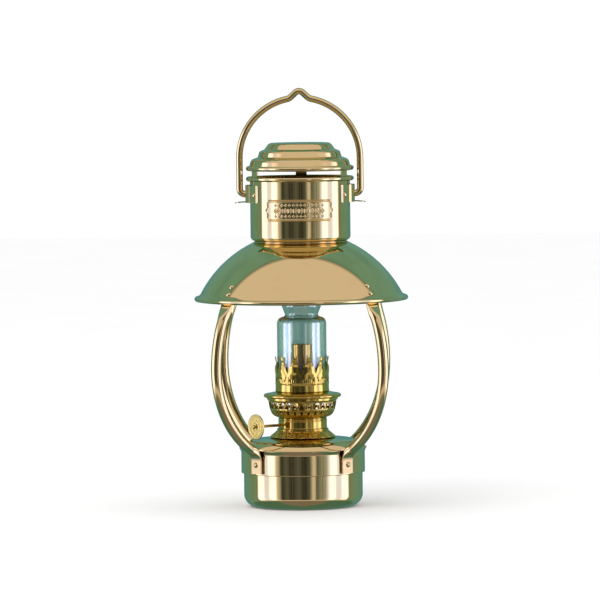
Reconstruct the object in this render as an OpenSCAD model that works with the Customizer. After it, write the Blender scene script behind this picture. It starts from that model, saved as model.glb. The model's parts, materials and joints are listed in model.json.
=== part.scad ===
// Ship lantern: oil lantern with a domed shade on four bowed legs, a round-wick burner and a drop-out font.
// The origin is the centre of the font's underside. +Z is up, and the front plate faces -Y.

/* [Head] */
// Outside radius of the head drum
drum_r = 44.4; // [42:0.2:47]
// Height of the drum's underside
drum_z = 236; // [235:0.5:237]
// Height of the drum's top edge
drum_top_z = 291; // [286:0.5:293]
// Height of the vent cap's flat top
cap_top_z = 322.7; // [321.5:0.2:326]
// Open gap between the drum's rim and the cap's rim
vent_gap = 9.2; // [8:0.2:9.6]
// Width of each cap post
post_w = 10.3; // [6:0.1:14]
// Width of the front plate, as an angle around the drum
plate_angle = 84; // [60:1:90]
// Height of the front plate
plate_h = 19.2; // [14:0.2:20]

/* [Bail] */
// Diameter of the bail's wire
bail_d = 5.9; // [4:0.1:6]
// Distance from the axis to each bail arm
bail_r = 53.5; // [53:0.1:56]
// Height of the bail's pivots
pivot_z = 277.5; // [276:0.5:279]
// Height of the wire's centre line at the top of the kink
bail_top_z = 368.3; // [366:0.1:372]

/* [Shade and legs] */
// Radius of the shade's spherical wall
shade_sphere_r = 102.9; // [102:0.1:104]
// Outside radius of the shade's rolled rim
shade_rim_r = 95; // [94:0.1:96]
// Diameter of the leg tubes
leg_d = 9.5; // [8:0.1:10.5]
// Radius from the axis to the legs' centre line where they bow out most
leg_bow_r = 103.4; // [102.4:0.1:104.4]
// Width of the legs' flattened ends
leg_flat_w = 13; // [11:0.1:14]

/* [Band and font] */
// Outside radius of the support band
band_r = 55; // [54.9:0.1:55.4]
// Outside radius of the font
font_r = 52.8; // [52:0.1:52.9]
// Radius of the font's rounded edges
font_edge_r = 10.5; // [8:0.1:12]
// Number of spring clips that grip the font
clips = 4; // [4:4:8]

/* [Burner] */
// Number of pierced bays around the air basket
basket_bays = 28; // [20:1:32]
// Number of prongs on the chimney crown
prongs = 11; // [8:1:12]
// Outside radius of the wick tube
wick_tube_r = 9.2; // [9:0.1:9.2]
// Height of the wick tube's mouth
wick_tube_top = 143.5; // [138:0.5:148]
// Direction of the wick spindle around the lantern
spindle_angle = 219.7; // [200:0.1:225]
// Sideways distance from the burner's axis to the spindle
spindle_offset = 7.7; // [7.7:0.1:8]
// Diameter of the wick knob
knob_d = 22.4; // [16:0.2:22.4]

/* [Glass] */
// Outside radius of the chimney's wide foot
glass_r = 21.9; // [20:0.1:22.4]
// Outside radius of the chimney's waist
waist_r = 14.1; // [13.5:0.1:16]
// Height of the chimney's top edge
glass_top_z = 270; // [250:1:272]

/* [Hidden] */
$fn = 128;
ARC_STEPS = 8;
FLAT_LAP = 0.6;
FLAT_INSET = 0.15;

// Metal thicknesses and clearances
sheet = 1;
thin = 0.7;
fit = 0.05;
lap = 0.3;
BOWL_WALL = 0.9;

// Rivets
rivet_r = 1.5;
rivet_head_r = 2.65;
rivet_head_h = 1.7;
rivet_tail_h = 0.7;

// Head
bead_d = 4.2;
rim_r = drum_r + 3.5;
cap_rim_z = drum_top_z + vent_gap;
hole_neck_r = 40.3;
plate_z = 263.8;
ear_h = 15.5;
ear_z = pivot_z - 7.5;
ear_out_r = drum_r + 4.2;
ear_rivet_angle = 28.4;
ear_rivet_z = pivot_z - 1;
ear_bow = 10;
ear_foot = 20.5;
ear_span = 35;
tab_tip_r = 58;
tab_h = 1.3;
tab_w = 10;

// Bail
bail_bend_r = 4.6;
bail_tip_x = drum_r + 0.8;
arch_z = bail_top_z - 59.3;
kink_peak_r = 4.8;
kink_slope = 43;
kink_foot_r = 7;

// Shade: centre of its wall's circle in [radius, height], and the ends of the wall as angles on it
shade_c = [-1.7, 141.5];
shade_top_a = 65;
shade_low_a = 27.3;
shade_bead_z = 184.9;
shade_rivet_a = [33.2, 29];

// Legs: centres of the two arcs of the centre line in [radius, height]
leg_flat_t = 2.4;
leg_mid_z = 125;
leg_up_r = 120;
leg_low_r = 83.6;
leg_up_a = 22;
leg_low_a = 46;
leg_flat_a = 60;
strap_top_a = 36.8;
strap_low_a = 23.5;
strap_gap = 0.35;
foot_top_z = 45.5;
foot_low_z = 31.5;
foot_rivet_z = 39.4;
leg_angles = [225, 315, 45, 135];

// Band
band_low_z = 30;
band_lip_z = 51.9;
band_in_r = band_r - sheet;
clip_t = 0.45;
clip_half_angle = 6;

// Font
seam_z = 40;
dome_z = 61.4;
dome_edge_z = 58.6;
collar_r = 19.9;
collar_bore_r = 17.5;
filler_r = 37.8;
filler_z = 61.1;
filler_angle = 90;
filler_neck_r = 6.4;
filler_cap_r = 7.9;
filler_cap_top = 68.9;

// Burner
gasket_z = 62.95;
gasket_t = 0.8;
skirt_low = [29.6, 61.5];
skirt_top = [22.9, 67.2];
ring_top_z = 68.6;
neck_r = 21.2;
deck_z = 78.3;
basket_r = 30.6;
basket_top_z = 96;
pierced_low = 87.5;
pierced_top = 93;
flange_r = 34.4;
crown_r = 24.2;
crown_z = 102.05;
crown_top_z = 133.2;
spindle_z = 72.1;
spindle_r = 1.25;
sprocket_r = 3.25;
sprocket_x = 4;
knob_x = 46.4;
knob_t = 1.2;
duct_z = 92;
duct_r = 3;
draught_r = 6.4;
wick_r = wick_tube_r - 0.7;
wick_in_r = draught_r + 0.1;
wick_low_z = 82;
strip_t = 2.2;
strip_w = 13;
strip_y = -(spindle_offset - sprocket_r - fit);

// Chimney
glass_t = 1.5;
glass_low_z = crown_z + 0.8;

BRASS = [0.82, 0.68, 0.42];
BURNER_BRASS = [0.86, 0.66, 0.3];
GLASS = [0.62, 0.78, 0.74, 0.4];
COTTON = [0.9, 0.87, 0.78];
CORK = [0.55, 0.42, 0.28];

// Outlines in [radius, height]. A third number rounds the corner at that point.
function flat(p) = [p[0], p[1]];
function unit(v) = v / norm(v);
function turned(a) = a > 180 ? a - 360 : a < -180 ? a + 360 : a;
function polar(r, a) = [r * cos(a), r * sin(a)];
function arc(centre, r, from, to) =
    [for (i = [0 : ARC_STEPS]) centre + polar(r, from + (to - from) * i / ARC_STEPS)];
function corner(a, b, c, r) =
    let (
        u = unit(a - b),
        v = unit(c - b),
        half = acos(u * v) / 2,
        centre = b + unit(u + v) * r / sin(half),
        p = b + u * r / tan(half) - centre,
        q = b + v * r / tan(half) - centre,
        from = atan2(p.y, p.x)
    )
    arc(centre, r, from, from + turned(atan2(q.y, q.x) - from));
function smooth(path) = [
    for (i = [0 : len(path) - 1])
        each len(path[i]) == 3
            ? corner(flat(path[i - 1]), flat(path[i]), flat(path[i + 1]), path[i][2])
            : [path[i]]
];

// Right-hand side of a path, seen along its direction
function side(p, q) = let (u = unit(q - p)) [u.y, -u.x];
function beside(path, i, t) =
    let (
        n = len(path) - 1,
        a = side(path[max(i - 1, 0)], path[max(i, 1)]),
        b = side(path[min(i, n - 1)], path[min(i + 1, n)]),
        m = unit(a + b)
    )
    path[i] + m * t / (m * a);
function sheet_outline(path, t) = concat(
    [for (i = [0 : len(path) - 1]) beside(path, i, t)],
    [for (i = [len(path) - 1 : -1 : 0]) path[i]]
);
function centred(path, t) = [for (i = [0 : len(path) - 1]) beside(path, i, -t / 2)];

module spun(path, t) {
    rotate_extrude() {
        polygon(sheet_outline(smooth(path), t));
        children();
    }
}

module band_2d(r0, r1, z0, z1) {
    translate([r0, z0])
        square([r1 - r0, z1 - z0]);
}

module bead_2d(r, z, d) {
    translate([r, z])
        circle(d = d);
}

module ring(r0, r1, z0, z1) {
    rotate_extrude()
        band_2d(r0, r1, z0, z1);
}

// Plan-view sector of a ring, between two angles each side of +X
module sector(r0, r1, z0, z1, from, to) {
    reach = 2 * r1;
    translate([0, 0, z0])
        linear_extrude(z1 - z0)
            intersection() {
                difference() {
                    circle(r1);
                    circle(r0);
                }
                polygon([[0, 0], polar(reach, from), polar(reach, (from + to) / 2), polar(reach, to)]);
            }
}

// Shape drawn in [sideways, height] and cut outwards through a wall on the +X side
module radial_cut(reach) {
    rotate([90, 0, 90])
        linear_extrude(reach)
            children();
}

// Shape drawn in [radius, height] with a thickness sideways
module upright(width) {
    rotate([90, 0, 0])
        linear_extrude(width, center = true)
            children();
}

// Tube along an arc in the [radius, height] plane
module bent_tube(centre, r, d, from, to) {
    translate([centre.x, 0, centre.y])
        rotate([90, 0, 0])
            rotate([0, 0, from])
                rotate_extrude(angle = to - from)
                    translate([r, 0])
                        circle(d = d);
}

// Straight wire between two points of the [radius, height] plane
module straight_wire(p, q, d) {
    translate([p.x, 0, p.y])
        rotate([0, 90 - atan2(q.y - p.y, q.x - p.x), 0])
            cylinder(d = d, h = norm(q - p));
}

// Thin disc a hair wider than the wire, which makes the pieces that meet there one solid
module weld(centre, r, a, d) {
    p = centre + polar(r, a);
    translate([p.x, 0, p.y])
        rotate([0, -a, 0])
            cylinder(d = d + 0.02, h = 0.2, center = true);
}

// Rivet along +X: the plates lie between x = -grip and x = 0
module rivet(grip) {
    dome_r = (rivet_head_r * rivet_head_r + rivet_head_h * rivet_head_h) / (2 * rivet_head_h);
    tail_r = rivet_head_r - 0.5;
    rotate([0, 90, 0])
        rotate_extrude() {
            intersection() {
                translate([0, rivet_head_h - dome_r])
                    circle(dome_r);
                square([rivet_head_r + 1, rivet_head_h + 1]);
            }
            band_2d(0, rivet_r, -grip - rivet_tail_h / 2, rivet_head_h / 2);
            band_2d(0, tail_r, -grip - rivet_tail_h, -grip);
        }
}

module rivet_hole(from, to) {
    translate([from, 0, 0])
        rotate([0, 90, 0])
            cylinder(r = rivet_r + fit, h = to - from);
}

// Head

module vent_cap() {
    color(BRASS)
        spun([
            [0, cap_top_z], [27.2, cap_top_z, 5], [31.4, cap_top_z - 5.8, 1.2],
            [35.8, cap_top_z - 7.4, 3], [37.2, cap_top_z - 12.6, 0.9], [43.3, cap_top_z - 14.7, 4.5],
            [drum_r + 0.4, cap_rim_z + 2.2, 0.5], [rim_r - 1.5, cap_rim_z + 1]
        ], sheet)
            bead_2d(rim_r - bead_d / 2, cap_rim_z, bead_d);
}

module cap_posts() {
    post_angle = asin(post_w / 2 / rim_r);
    low_z = drum_top_z + bead_d / 2 - 0.2;
    high_z = cap_rim_z - bead_d / 2 + 0.2;
    color(BRASS)
        for (a = [90, 210, 330])
            rotate([0, 0, a])
                difference() {
                    sector(drum_r, drum_r + 1.6, low_z - 1, high_z + 1, -post_angle, post_angle);
                    ring_bead(drum_top_z);
                    ring_bead(cap_rim_z);
                }
}

module ring_bead(z) {
    rotate_extrude()
        bead_2d(rim_r - bead_d / 2, z, bead_d + 2 * fit);
}

module head_drum() {
    color(BRASS)
        difference() {
            spun([[drum_r, drum_top_z], [drum_r, drum_z, 4], [hole_neck_r, drum_z]], sheet)
                bead_2d(rim_r - bead_d / 2, drum_top_z, bead_d);
            at_ear_rivets()
                rivet_hole(drum_r - 2, drum_r + 2);
        }
}

// Ornament: a row of plain lozenges inside a raised frame
module front_plate() {
    half = plate_angle / 2;
    z0 = plate_z - plate_h / 2;
    face_r = drum_r + fit + 0.9;
    frame_r = face_r + 0.5;
    notch_r = 3.2;
    margin = 2.2;
    margin_angle = 3;
    color(BRASS)
        rotate([0, 0, -90])
            difference() {
                union() {
                    sector(drum_r + fit, face_r, z0, z0 + plate_h, -half, half);
                    difference() {
                        sector(face_r - 0.2, frame_r, z0, z0 + plate_h, -half, half);
                        sector(
                            face_r - 1, frame_r + 1, z0 + margin, z0 + plate_h - margin,
                            margin_angle - half, half - margin_angle
                        );
                    }
                    for (i = [-3 : 3])
                        rotate([0, 0, i * (half - margin_angle) / 3.8])
                            lozenge(face_r - 0.3, 0.8);
                }
                for (a = [-half, half])
                    for (z = [z0, z0 + plate_h])
                        rotate([0, 0, a])
                            translate([drum_r - 2, 0, z])
                                rotate([0, 90, 0])
                                    cylinder(r = notch_r, h = 6);
            }
}

module lozenge(r, h) {
    translate([r, 0, plate_z])
        radial_cut(h)
            polygon([[-3.2, 0], [0, -4.8], [3.2, 0], [0, 4.8]]);
}

// One strap with its stop tab, on the +X side
module ear() {
    color(BRASS)
        difference() {
            union() {
                for (m = [0, 1])
                    mirror([0, m, 0]) {
                        sector(drum_r + fit, drum_r + 1.2, ear_z, ear_z + ear_h, ear_foot, ear_span);
                        translate([0, 0, ear_z])
                            linear_extrude(ear_h)
                                polygon([
                                    polar(drum_r + fit, ear_foot), polar(drum_r + 1.2, ear_foot + 1),
                                    polar(ear_out_r, ear_bow), polar(ear_out_r - 1.2, ear_bow - 1)
                                ]);
                    }
                sector(ear_out_r - 1.2, ear_out_r, ear_z, ear_z + ear_h, -ear_bow, ear_bow);
                translate([ear_out_r - 1.4, -tab_w / 2, ear_z])
                    cube([tab_tip_r - ear_out_r + 1.4, tab_w, tab_h]);
            }
            translate([drum_r + 1.5, 0, pivot_z])
                rotate([0, 90, 0])
                    cylinder(d = bail_d + 0.16, h = 6);
            for (s = [-1, 1])
                rotate([0, 0, s * ear_rivet_angle])
                    translate([0, 0, ear_rivet_z])
                        rivet_hole(drum_r - 2, drum_r + 3);
        }
}

module ear_left() {
    rotate([0, 0, 180])
        ear();
}

module ear_right() {
    ear();
}

module at_ear_rivets() {
    for (side_angle = [0, 180])
        for (s = [-1, 1])
            rotate([0, 0, side_angle + s * ear_rivet_angle])
                translate([0, 0, ear_rivet_z])
                    children();
}

module ear_rivets() {
    color(BRASS)
        at_ear_rivets()
            translate([drum_r + 1.2 + fit, 0, 0])
                rivet(sheet + 1.2 + 2 * fit);
}

module neck_ring() {
    bead = 2;
    color(BRASS)
        rotate_extrude() {
            band_2d(hole_neck_r - 1.1, hole_neck_r, drum_z - 5, drum_z + 3.5);
            bead_2d(hole_neck_r - 0.1, drum_z - bead / 2 - fit, bead);
        }
}

module chimney_guide() {
    plate_low = drum_z + 0.5;
    bore = 19.5;
    air_holes = 12;
    color(BRASS)
        difference() {
            rotate_extrude() {
                band_2d(bore, hole_neck_r - 1.15, plate_low, plate_low + 0.8);
                band_2d(bore, bore + 0.8, plate_low - 8, plate_low + 0.8);
            }
            for (i = [0 : air_holes - 1])
                rotate([0, 0, 360 * i / air_holes])
                    translate([29.5, 0, plate_low - 1])
                        cylinder(r = 3, h = 3);
        }
}

// Shade and its rivets

module shade() {
    wall = arc(shade_c, shade_sphere_r, shade_top_a, (shade_top_a + shade_low_a) / 2);
    lower_wall = arc(shade_c, shade_sphere_r, (shade_top_a + shade_low_a) / 2 - 2, shade_low_a);
    lip = [shade_rim_r - 2.1, shade_bead_z + 2.1];
    color(BRASS)
        difference() {
            spun(concat(wall, lower_wall, [lip]), sheet)
                bead_2d(shade_rim_r - bead_d / 2, shade_bead_z, bead_d);
            at_shade_rivets()
                rivet_hole(-4, 2);
        }
}

// Children lie on the shade's outer surface, with +X along its outward normal
module at_shade_rivets() {
    for (a = leg_angles)
        rotate([0, 0, a])
            for (b = shade_rivet_a) {
                p = shade_c + polar(shade_sphere_r, b);
                translate([p.x, 0, p.y])
                    rotate([0, -b, 0])
                        children();
            }
}

module shade_rivets() {
    color(BRASS)
        at_shade_rivets()
            translate([fit, 0, 0])
                rivet(sheet + strap_gap + leg_flat_t + 2 * fit);
}

// Legs

module leg(a) {
    up_c = [leg_bow_r - leg_up_r, leg_mid_z];
    low_c = [leg_bow_r - leg_low_r, leg_mid_z];
    strap_out_r = shade_sphere_r - sheet - strap_gap;
    foot_path = [
        low_c + polar(leg_low_r, -leg_flat_a),
        [band_r + fit + leg_flat_t / 2, foot_top_z, 4],
        [band_r + fit + leg_flat_t / 2, foot_low_z]
    ];
    color(BRASS)
        difference() {
            rotate([0, 0, a]) {
                bent_tube(up_c, leg_up_r, leg_d, 0, leg_up_a);
                bent_tube(low_c, leg_low_r, leg_d, -leg_low_a, 0);
                weld(up_c, leg_up_r, 0, leg_d);
                flattening(
                    up_c + polar(leg_up_r, leg_up_a),
                    shade_c + polar(strap_out_r - leg_flat_t / 2, strap_low_a)
                );
                flattening(low_c + polar(leg_low_r, -leg_low_a), low_c + polar(leg_low_r, -leg_flat_a));
                upright(leg_flat_w)
                    polygon(sheet_outline(
                        arc(shade_c, strap_out_r, strap_top_a, strap_low_a), leg_flat_t));
                upright(leg_flat_w)
                    polygon(sheet_outline(centred(smooth(foot_path), leg_flat_t), leg_flat_t));
            }
            at_shade_rivets()
                rivet_hole(-6, 2);
            at_foot_rivets()
                rivet_hole(band_r - 2, band_r + 4);
        }
}

// Tube end pressed flat from p to q: a cone that widens, between two faces that close in.
// It starts and ends a little inside the parts it joins.
module flattening(p, q) {
    run = norm(q - p) + FLAT_LAP;
    translate([p.x, 0, p.y])
        rotate([0, 90 - atan2(q.y - p.y, q.x - p.x), 0])
            intersection() {
                translate([0, 0, -FLAT_LAP])
                    cylinder(
                        r1 = leg_d / 2 - FLAT_INSET, r2 = leg_flat_w / 2 - FLAT_INSET,
                        h = run + FLAT_LAP
                    );
                upright(leg_flat_w)
                    polygon([
                        [-leg_d / 2, -FLAT_LAP], [leg_d / 2, -FLAT_LAP],
                        [leg_flat_t / 2 - FLAT_INSET, run], [FLAT_INSET - leg_flat_t / 2, run]
                    ]);
            }
}

module leg_front_left() {
    leg(leg_angles[0]);
}

module leg_front_right() {
    leg(leg_angles[1]);
}

module leg_rear_right() {
    leg(leg_angles[2]);
}

module leg_rear_left() {
    leg(leg_angles[3]);
}

module at_foot_rivets() {
    for (a = leg_angles)
        rotate([0, 0, a])
            translate([0, 0, foot_rivet_z])
                children();
}

module foot_rivets() {
    color(BRASS)
        at_foot_rivets()
            translate([band_r + leg_flat_t + 2 * fit, 0, 0])
                rivet(sheet + leg_flat_t + 3 * fit);
}

// Band and clips

module support_band() {
    lip_r = band_r + 1.6;
    color(BRASS)
        difference() {
            spun([
                [lip_r, band_lip_z], [band_r, band_lip_z - 3.2, 1.5], [band_r, band_low_z]
            ], sheet)
                bead_2d(lip_r - 0.4, band_lip_z - 0.3, 1);
            at_foot_rivets()
                rivet_hole(band_r - 3, band_r + 3);
        }
}

// Leaf springs soldered inside the band at their upper ends
module spring_clips() {
    back_r = band_in_r - 0.02;
    touch_r = font_r + 0.03;
    leaf = [
        [back_r, band_lip_z - 6], [back_r, band_lip_z - 10],
        [touch_r + clip_t, seam_z], [back_r, band_low_z + 3]
    ];
    color(BRASS)
        for (i = [0 : clips - 1])
            rotate([0, 0, 360 * i / clips - clip_half_angle])
                rotate_extrude(angle = 2 * clip_half_angle)
                    polygon(sheet_outline(leaf, clip_t));
}

// Bail: one side of the wire, from the slope of the kink to the pivot end
module bail_side(peak_c) {
    arch_c = [0, arch_z];
    out = [cos(kink_slope), -sin(kink_slope)];
    up = [sin(kink_slope), cos(kink_slope)];
    peak_end = peak_c + up * kink_peak_r;
    // The foot of the kink is an arc outside the wire that touches the slope and the arch
    rise = (peak_end - arch_c) * up + kink_foot_r;
    span = sqrt(pow(bail_r + kink_foot_r, 2) - rise * rise);
    foot_c = arch_c + up * rise - out * span;
    slope_end = foot_c - up * kink_foot_r;
    foot_a = atan2(arch_c.y - foot_c.y, arch_c.x - foot_c.x);
    bend_c = [bail_r - bail_bend_r, pivot_z + bail_bend_r];
    straight_wire(peak_end, slope_end, bail_d);
    bent_tube(foot_c, kink_foot_r, bail_d, -90 - kink_slope, foot_a);
    bent_tube(arch_c, bail_r, bail_d, 0, foot_a + 180);
    straight_wire([bail_r, bend_c.y], [bail_r, arch_z], bail_d);
    bent_tube(bend_c, bail_bend_r, bail_d, -90, 0);
    straight_wire([bail_tip_x, pivot_z], [bend_c.x, pivot_z], bail_d);
    weld(peak_c, kink_peak_r, 90 - kink_slope, bail_d);
    weld(foot_c, kink_foot_r, -90 - kink_slope, bail_d);
    weld(arch_c, bail_r, foot_a + 180, bail_d);
    weld(arch_c, bail_r, 0, bail_d);
    weld(bend_c, bail_bend_r, 0, bail_d);
    weld(bend_c, bail_bend_r, -90, bail_d);
}

module bail_handle() {
    peak_c = [0, bail_top_z - kink_peak_r];
    color(BRASS) {
        bent_tube(peak_c, kink_peak_r, bail_d, 90 - kink_slope, 90 + kink_slope);
        bail_side(peak_c);
        mirror([1, 0, 0])
            bail_side(peak_c);
    }
}

// Font

module font_body() {
    color(BRASS)
        spun([[font_r, seam_z - fit], [font_r, 0, font_edge_r], [0, 0]], sheet);
}

module font_dome() {
    dome_path = [[collar_r + 3 * fit, dome_z], [font_r, dome_edge_z, font_edge_r], [font_r, seam_z]];
    color(BRASS)
        difference() {
            spun(dome_path, sheet) {
                band_2d(font_r - 2 * sheet, font_r - sheet - fit, seam_z - 4, seam_z + 4);
                band_2d(font_r - 2 * sheet, font_r - sheet + lap, seam_z, seam_z + 4);
            }
            at_filler()
                translate([0, 0, seam_z + 5])
                    cylinder(r = filler_neck_r + fit, h = 30);
        }
}

module font_collar() {
    color(BRASS)
        rotate_extrude() {
            band_2d(collar_bore_r, collar_r, dome_z - 8, gasket_z - fit);
            band_2d(collar_bore_r, 26.5, dome_z + fit, gasket_z - fit);
        }
}

module at_filler() {
    rotate([0, 0, filler_angle])
        translate([filler_r, 0, 0])
            children();
}

module filler_neck() {
    color(BRASS)
        at_filler()
            difference() {
                union() {
                    translate([0, 0, filler_z - 6])
                        cylinder(r = filler_neck_r, h = 8.4);
                    translate([0, 0, filler_z - 0.35])
                        cylinder(r = filler_neck_r + 1.2, h = 0.6);
                }
                translate([0, 0, filler_z - 7])
                    cylinder(r = filler_neck_r - 1.2, h = 14);
            }
}

module filler_washer() {
    color(CORK)
        at_filler()
            translate([0, 0, filler_z + 2.45])
                difference() {
                    cylinder(r = filler_neck_r, h = 0.8);
                    translate([0, 0, -1])
                        cylinder(r = filler_neck_r - 1.2, h = 3);
                }
}

module filler_cap() {
    low = filler_z + 0.5;
    rim_h = 2.4;
    flutes = 24;
    color(BRASS)
        at_filler()
            difference() {
                union() {
                    translate([0, 0, low])
                        cylinder(r = filler_cap_r, h = rim_h);
                    translate([0, 0, low + rim_h])
                        cylinder(r1 = filler_cap_r, r2 = 1.4, h = filler_cap_top - low - rim_h);
                }
                translate([0, 0, low - 1])
                    cylinder(r = filler_neck_r + fit, h = filler_z + 3.25 - low + 1);
                for (i = [0 : flutes - 1])
                    rotate([0, 0, 360 * i / flutes])
                        translate([filler_cap_r + 0.35, 0, low - 1])
                            cylinder(r = 0.7, h = rim_h + 0.4, $fn = 16);
            }
}

// Burner

module burner_gasket() {
    color(CORK)
        ring(collar_bore_r + 1, 24, gasket_z, gasket_z + gasket_t);
}

// The threads of the burner and the collar are plain cylinders
module burner_base() {
    web_z = gasket_z + gasket_t + fit;
    bore = 15.5;
    color(BURNER_BRASS)
        spun([[skirt_top.x, skirt_top.y + 1], skirt_top, skirt_low], 0.8) {
            band_2d(bore, collar_bore_r - fit, dome_z - 7, web_z + 2.5);
            band_2d(bore, 22.4, web_z, web_z + 1);
            band_2d(20.4, 22.2, web_z, skirt_top.y + 1);
            band_2d(20.4, skirt_top.x, skirt_top.y, ring_top_z);
        }
}

module burner_body() {
    low = ring_top_z + fit;
    drum_high = deck_z - 2.4;
    color(BURNER_BRASS)
        difference() {
            rotate_extrude() {
                band_2d(neck_r - 0.9, neck_r, low, deck_z);
                band_2d(neck_r - 0.5, neck_r + 0.35, low + 0.9, drum_high);
                band_2d(wick_tube_r + fit, neck_r - 0.5, deck_z - 1.1, deck_z - 0.1);
                bead_2d(neck_r - 0.1, low + 0.9, 1.4);
                bead_2d(neck_r - 0.1, drum_high, 1.3);
                bead_2d(neck_r - 0.1, deck_z - 0.9, 1);
            }
            at_spindle()
                translate([10, 0, 0])
                    rotate([0, 90, 0])
                        cylinder(r = spindle_r + fit, h = 20);
        }
}

// Children lie on the spindle's line, with +X out to the knob
module at_spindle() {
    rotate([0, 0, spindle_angle])
        translate([0, -spindle_offset, spindle_z])
            children();
}

module spindle_bracket() {
    top = deck_z - 1.1 - fit;
    color(BURNER_BRASS)
        at_spindle()
            difference() {
                translate([-10.2, -3.3, -3.6])
                    cube([1.2, 5.8, top - spindle_z + 3.6]);
                translate([-12, 0, 0])
                    rotate([0, 90, 0])
                        cylinder(r = spindle_r + fit, h = 5);
            }
}

module air_basket() {
    pitch = 360 / basket_bays;
    foot = [29.3, pierced_low - 0.5];
    head = [30.4, pierced_top + 0.5];
    bowl = [[20.4, deck_z + fit], [22.8, 78.9], [25.4, 80.1], [27.3, 81.9], [28.4, 83.9], [28.9, 85.4], foot];
    color(BURNER_BRASS) {
        wall(bowl, BOWL_WALL);
        wall([head, [basket_r, head.y + 1], [basket_r, basket_top_z]], BOWL_WALL);
        difference() {
            wall([foot, head], BOWL_WALL);
            for (i = [0 : basket_bays - 1]) {
                rotate([0, 0, i * pitch])
                    window(2.2, 0.15);
                rotate([0, 0, (i + 0.5) * pitch])
                    window(0.15, 2.2);
            }
        }
    }
}

// Spun wall of one width all the way up, with level ends
module wall(path, width) {
    rotate_extrude()
        polygon(concat(path, [for (i = [len(path) - 1 : -1 : 0]) path[i] - [width, 0]]));
}

// Three-sided opening in the pierced wall, with a half width at its foot and one at its top
module window(foot, head) {
    translate([basket_r - 5, 0, 0])
        radial_cut(7)
            polygon([[-foot, pierced_low], [foot, pierced_low], [head, pierced_top], [-head, pierced_top]]);
}

module gallery_flange() {
    roll = 3.2;
    color(BURNER_BRASS)
        spun([[22.9, 102], [25, 101.3, 1.2], [32, 99.9], [flange_r - 1, 98.7]], thin) {
            bead_2d(flange_r - roll / 2, 98.2, roll);
            band_2d(basket_r + fit, basket_r + 0.9, 94.8, 98);
        }
}

module chimney_crown() {
    pitch = 360 / prongs;
    shoulder_z = 108.9;
    color(BURNER_BRASS)
        difference() {
            rotate_extrude() {
                band_2d(crown_r - thin, crown_r, crown_z, crown_top_z);
                band_2d(20, crown_r, crown_z, crown_z + 0.75);
                bead_2d(crown_r - 0.15, shoulder_z, 0.9);
            }
            for (i = [0 : prongs - 1])
                rotate([0, 0, i * pitch - 90])
                    radial_cut(crown_r + 2) {
                        polygon([
                            [-0.5, 118.5], [0.5, 118.5], [4.2, 125.5], [6.3, crown_top_z + 1],
                            [-6.3, crown_top_z + 1], [-4.2, 125.5]
                        ]);
                        polygon([[-3.8, 111], [-2.8, 111], [-0.8, 115.6], [-1.7, 115.6]]);
                        polygon([[2.8, 111], [3.8, 111], [1.7, 115.6], [0.8, 115.6]]);
                    }
        }
}

module wick_tube() {
    low = spindle_z + sprocket_r + 0.85;
    color(BURNER_BRASS)
        difference() {
            ring(wick_tube_r - 0.6, wick_tube_r, low, wick_tube_top);
            rotate([0, 0, spindle_angle + 90])
                translate([4, 0, duct_z])
                    rotate([0, 90, 0])
                        cylinder(r = duct_r + fit, h = 8);
        }
}

// Inner air tube, closed below and fed through a short side duct
module draught_tube() {
    low = duct_z - duct_r;
    wall = 0.5;
    color(BURNER_BRASS)
        difference() {
            union() {
                translate([0, 0, low])
                    cylinder(r = draught_r, h = wick_tube_top - 2 - low);
                rotate([0, 0, spindle_angle + 90])
                    translate([0, 0, duct_z])
                        rotate([0, 90, 0])
                            cylinder(r = duct_r, h = wick_tube_r + 0.1);
            }
            translate([0, 0, low + wall])
                cylinder(r = draught_r - wall, h = wick_tube_top);
            rotate([0, 0, spindle_angle + 90])
                translate([0, 0, duct_z])
                    rotate([0, 90, 0])
                        cylinder(r = duct_r - wall, h = wick_tube_r + 2);
        }
}

module wick_spindle() {
    color(BURNER_BRASS)
        at_spindle()
            translate([-10.6, 0, 0])
                rotate([0, 90, 0])
                    cylinder(r = spindle_r, h = knob_x + knob_t + 11.8);
}

module wick_sprockets() {
    teeth = 8;
    root_r = 2.4;
    color(BURNER_BRASS)
        at_spindle()
            for (x = [-sprocket_x, sprocket_x])
                translate([x, 0, 0])
                    rotate([0, 90, 0])
                        linear_extrude(1.4, center = true)
                            difference() {
                                polygon([
                                    for (i = [0 : 2 * teeth - 1])
                                        polar(i % 2 == 0 ? sprocket_r : root_r, 180 * i / teeth)
                                ]);
                                circle(r = spindle_r + 0.01);
                            }
}

module wick_knob() {
    hub_r = 2.7;
    bosses = 8;
    color(BURNER_BRASS)
        at_spindle()
            rotate([0, 90, 0])
                difference() {
                    union() {
                        translate([0, 0, knob_x])
                            cylinder(d = knob_d, h = knob_t);
                        translate([0, 0, knob_x - 2.5])
                            cylinder(r = hub_r, h = knob_t + 3.5);
                        rotate_extrude()
                            bead_2d(knob_d / 2 - 0.8, knob_x + knob_t / 2, 1.6);
                        for (i = [0 : bosses - 1])
                            rotate([0, 0, 360 * i / bosses])
                                translate([6.4, 0, knob_x + knob_t - 0.2])
                                    cylinder(r1 = 1.8, r2 = 1, h = 0.7, $fn = 24);
                    }
                    translate([0, 0, knob_x - 5])
                        cylinder(r = spindle_r + 0.01, h = 12);
                }
}

module knob_rivet() {
    dome_r = 2.4;
    color(BURNER_BRASS)
        at_spindle()
            intersection() {
                translate([knob_x + knob_t + 1.25 - dome_r + 1.1, 0, 0])
                    sphere(dome_r);
                translate([knob_x + knob_t + 1.25, 0, 0])
                    rotate([0, 90, 0])
                        cylinder(r = dome_r, h = 4);
            }
}

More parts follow.
